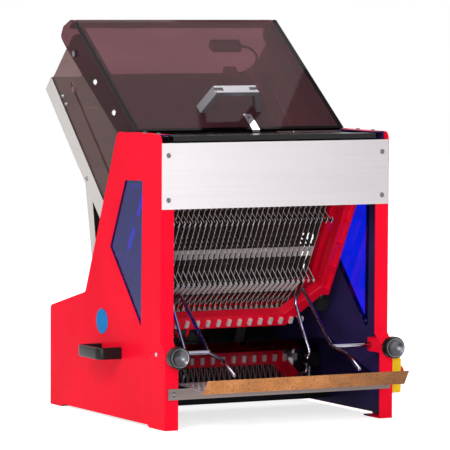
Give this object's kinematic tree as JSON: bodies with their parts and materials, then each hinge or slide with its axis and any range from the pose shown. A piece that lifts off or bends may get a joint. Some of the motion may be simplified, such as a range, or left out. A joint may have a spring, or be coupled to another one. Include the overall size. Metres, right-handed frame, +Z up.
{
  "type": "bread slicer machine",
  "caption": "Tabletop bread slicer: a loaf fed down a lidded chute is cut by two counter-moving blade frames and comes out on a shelf.",
  "frame": {"origin": "on the floor under the middle of the bounding box", "axes": "+Z up, -Y to the front where the slices come out, +X to the side of the stop box"},
  "size_m": [0.616, 0.708, 0.7937],
  "materials": {
    "red_paint": "satin",
    "blue_pane": "gloss",
    "panel_steel": "brushed",
    "black_paint": "satin",
    "shelf_steel": "polished",
    "copper_lip": "mottled",
    "light_paint": "satin",
    "base_steel": "mill",
    "smoked_wall": "clear smoked",
    "smoked_lid": "clear smoked",
    "bright_steel": "polished",
    "blade_steel": "ground",
    "red_casting": "gloss",
    "bronze": "machined",
    "dark_iron": "matte",
    "drive_steel": "machined",
    "pulley_alloy": "machined",
    "motor_paint": "satin",
    "belt_rubber": "matte",
    "black_plastic": "satin",
    "yellow_plastic": "satin",
    "red_plastic": "gloss",
    "blue_plastic": "gloss",
    "bright_alloy": "polished",
    "sensor_plastic": "matte",
    "pusher_plastic": "smoked"
  },
  "bodies": {
    "casing": {"left_side_plate": "red_paint", "right_side_plate": "red_paint", "rear_cover": "red_paint", "housing_cover": "red_paint", "left_window_pane": "blue_pane", "right_window_pane": "blue_pane", "front_panel": "panel_steel", "cross_bar": "panel_steel", "top_front_bar": "black_paint", "top_cover": "black_paint", "perforated_shelf": "shelf_steel", "discharge_slide": "shelf_steel", "shelf_lip": "copper_lip", "drive_bulkhead": "light_paint", "hopper_back_panel": "light_paint", "chute_floor": "light_paint", "base_plate": "base_steel", "left_chute_wall": "smoked_wall", "right_chute_wall": "smoked_wall", "lower_comb": "bright_steel", "upper_comb": "bright_steel", "frame_guide_rods": "bright_steel", "casing_screws": "bright_steel", "chute_spacers": "bright_steel", "guide_rod_blocks": "dark_iron", "bearing_blocks": "dark_iron", "guide_clamp_blocks": "dark_iron", "motor": "motor_paint", "drive_belt": "belt_rubber", "left_handle": "black_plastic", "right_handle": "black_plastic", "cable_gland": "black_plastic", "stop_box": "yellow_plastic", "blue_disc": "blue_plastic"},
    "lid": {"lid": "smoked_lid", "lid_seal": "belt_rubber", "lid_handle": "bright_alloy", "lid_fittings": "bright_alloy", "safety_sensor": "sensor_plastic", "sensor_cable": "belt_rubber"},
    "pusher": {"pusher": "pusher_plastic", "pusher_bracket": "bright_alloy"},
    "frame_a": {"blade_frame_a": "red_casting", "blades_a": "blade_steel", "blade_clips_a": "bright_steel", "frame_bearings_a": "bronze"},
    "frame_b": {"blade_frame_b": "red_casting", "blades_b": "blade_steel", "blade_clips_b": "bright_steel", "frame_bearings_b": "bronze"},
    "rod_a": {"connecting_rod_a": "drive_steel"},
    "rod_b": {"connecting_rod_b": "drive_steel"},
    "crank": {"crankshaft": "drive_steel", "crank_pulley": "pulley_alloy"},
    "motor_rotor": {"motor_pulley": "pulley_alloy"},
    "left_knob": {"left_knob": "black_plastic"},
    "right_knob": {"right_knob": "black_plastic"},
    "left_guide": {"left_guide": "bright_steel"},
    "right_guide": {"right_guide": "bright_steel"},
    "stop_button": {"stop_button": "red_plastic"}
  },
  "joints": [
    {"name": "lid_hinge", "type": "hinge", "parent": "casing", "child": "lid", "pos_m": [0, 0.20888, 0.72467], "axis": [-1, 0, 0], "range_deg": [0, 70]},
    {"name": "pusher_slide", "type": "slide", "parent": "casing", "child": "pusher", "axis": [0, -0.712, -0.7022], "range_m": [0, 0.228]},
    {"name": "frame_a_slide", "type": "slide", "parent": "casing", "child": "frame_a", "axis": [0, -0.5, 0.866], "range_m": [-0.015, 0.015]},
    {"name": "frame_b_slide", "type": "slide", "parent": "casing", "child": "frame_b", "axis": [0, -0.5, 0.866], "range_m": [-0.015, 0.015]},
    {"name": "rod_a_swing", "type": "hinge", "parent": "frame_a", "child": "rod_a", "pos_m": [-0.085, 0.03192, 0.16385], "axis": [1, 0, 0], "range_deg": [0, 16.3]},
    {"name": "rod_b_swing", "type": "hinge", "parent": "frame_b", "child": "rod_b", "pos_m": [0.085, 0.07349, 0.18785], "axis": [1, 0, 0], "range_deg": [-16.3, 0]},
    {"name": "crank_spin", "type": "hinge", "parent": "casing", "child": "crank", "pos_m": [0, 0.1067, 0.08232], "axis": [1, 0, 0], "continuous": true},
    {"name": "motor_spin", "type": "hinge", "parent": "casing", "child": "motor_rotor", "pos_m": [0, 0.2197, 0.1], "axis": [1, 0, 0], "continuous": true},
    {"name": "left_knob_turn", "type": "hinge", "parent": "casing", "child": "left_knob", "pos_m": [-0.2415, -0.2553, 0.145], "axis": [0, -1, 0], "range_deg": [0, 360]},
    {"name": "right_knob_turn", "type": "hinge", "parent": "casing", "child": "right_knob", "pos_m": [0.2415, -0.2553, 0.145], "axis": [0, -1, 0], "range_deg": [0, 360]},
    {"name": "left_guide_slide", "type": "slide", "parent": "casing", "child": "left_guide", "axis": [-1, 0, 0], "range_m": [0, 0.065]},
    {"name": "right_guide_slide", "type": "slide", "parent": "casing", "child": "right_guide", "axis": [1, 0, 0], "range_m": [0, 0.065]},
    {"name": "stop_press", "type": "slide", "parent": "casing", "child": "stop_button", "axis": [-1, 0, 0], "range_m": [0, 0.004], "stiffness_N_per_m": 600}
  ],
  "couplings": [
    {"joint": "frame_b_slide", "follows": "frame_a_slide", "ratio": -1},
    {"joint": "motor_spin", "follows": "crank_spin", "ratio": 2}
  ]
}
